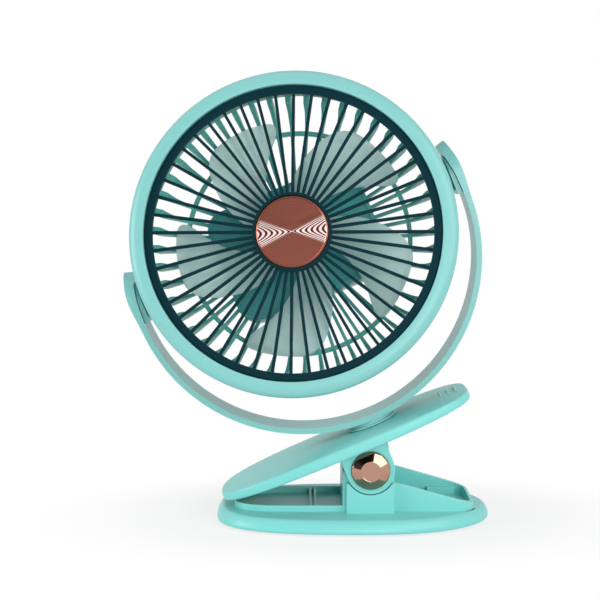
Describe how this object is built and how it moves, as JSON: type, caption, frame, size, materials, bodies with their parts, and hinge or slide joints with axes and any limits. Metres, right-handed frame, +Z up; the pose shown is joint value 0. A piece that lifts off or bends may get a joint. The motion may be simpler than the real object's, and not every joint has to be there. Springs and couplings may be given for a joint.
{
  "type": "clip fan",
  "caption": "Small battery fan: a round grilled head tilts in a C-shaped yoke, which swivels on a sprung oval clip that also stands flat.",
  "frame": {"origin": "on the surface the fan stands on, below the middle of its length and depth", "axes": "+Z up, +X toward the thumb end of the clip, -Y toward the viewer and the front grille"},
  "size_m": [0.2056, 0.098, 0.2513],
  "materials": {
    "mint_plastic": "smooth satin moulded",
    "teal_plastic": "dark satin moulded",
    "blade_plastic": "smooth, slightly see-through",
    "pad_rubber": "matt",
    "rose_cap": "rose plated, polished",
    "rose_disc": "rose anodised, fine turned rings",
    "steel": "plain",
    "cell_wrap": "shrink film",
    "board_green": "solder mask",
    "lens_plastic": "clear, frosted"
  },
  "bodies": {
    "base": {"base_shell": "mint_plastic", "foot_front_left": "pad_rubber", "foot_back_left": "pad_rubber", "foot_front_right": "pad_rubber", "foot_back_right": "pad_rubber", "hinge_pin": "steel", "pin_cap_front": "rose_cap", "pin_cap_back": "rose_cap", "hinge_spring": "steel"},
    "jaw": {"upper_jaw": "mint_plastic", "jaw_grip_pad": "pad_rubber"},
    "yoke": {"yoke": "mint_plastic", "swivel_washer": "steel", "swivel_screw": "steel", "pivot_pad_right": "mint_plastic", "pivot_pad_left": "mint_plastic"},
    "head": {"head_ring": "mint_plastic", "front_grille": "teal_plastic", "centre_disc": "rose_disc", "rear_guard": "mint_plastic", "rear_cover": "mint_plastic", "motor_can": "steel", "battery": "cell_wrap", "circuit_board": "board_green", "charging_socket": "steel", "light_lens": "lens_plastic", "pivot_pin_right": "steel", "pivot_pin_left": "steel", "cover_screw_1": "steel", "cover_screw_2": "steel", "cover_screw_3": "steel", "cover_screw_4": "steel"},
    "impeller": {"impeller": "blade_plastic", "motor_shaft": "steel"},
    "button": {"power_button": "mint_plastic"}
  },
  "joints": [
    {"name": "clip_hinge", "type": "hinge", "parent": "base", "child": "jaw", "pos_m": [0.03477, 0, 0.0326], "axis": [0, 1, 0], "range_deg": [0, 30], "stiffness_Nm_per_rad": 0.6, "springref_deg": -20.05},
    {"name": "yoke_swivel", "type": "hinge", "parent": "jaw", "child": "yoke", "pos_m": [-0.00641, 0, 0.15842], "axis": [-0.3827, 0, 0.9239], "continuous": true},
    {"name": "head_tilt", "type": "hinge", "parent": "yoke", "child": "head", "pos_m": [-0.00641, 0, 0.15842], "axis": [0.9239, 0, 0.3827], "continuous": true},
    {"name": "fan_spin", "type": "hinge", "parent": "head", "child": "impeller", "pos_m": [-0.00641, 0, 0.15842], "axis": [0.0835, 0.9759, -0.2015], "continuous": true},
    {"name": "power_button", "type": "slide", "parent": "head", "child": "button", "axis": [-0.0835, -0.9759, 0.2015], "range_m": [0, 0.0005], "stiffness_N_per_m": 400, "springref_m": -0.0006}
  ]
}
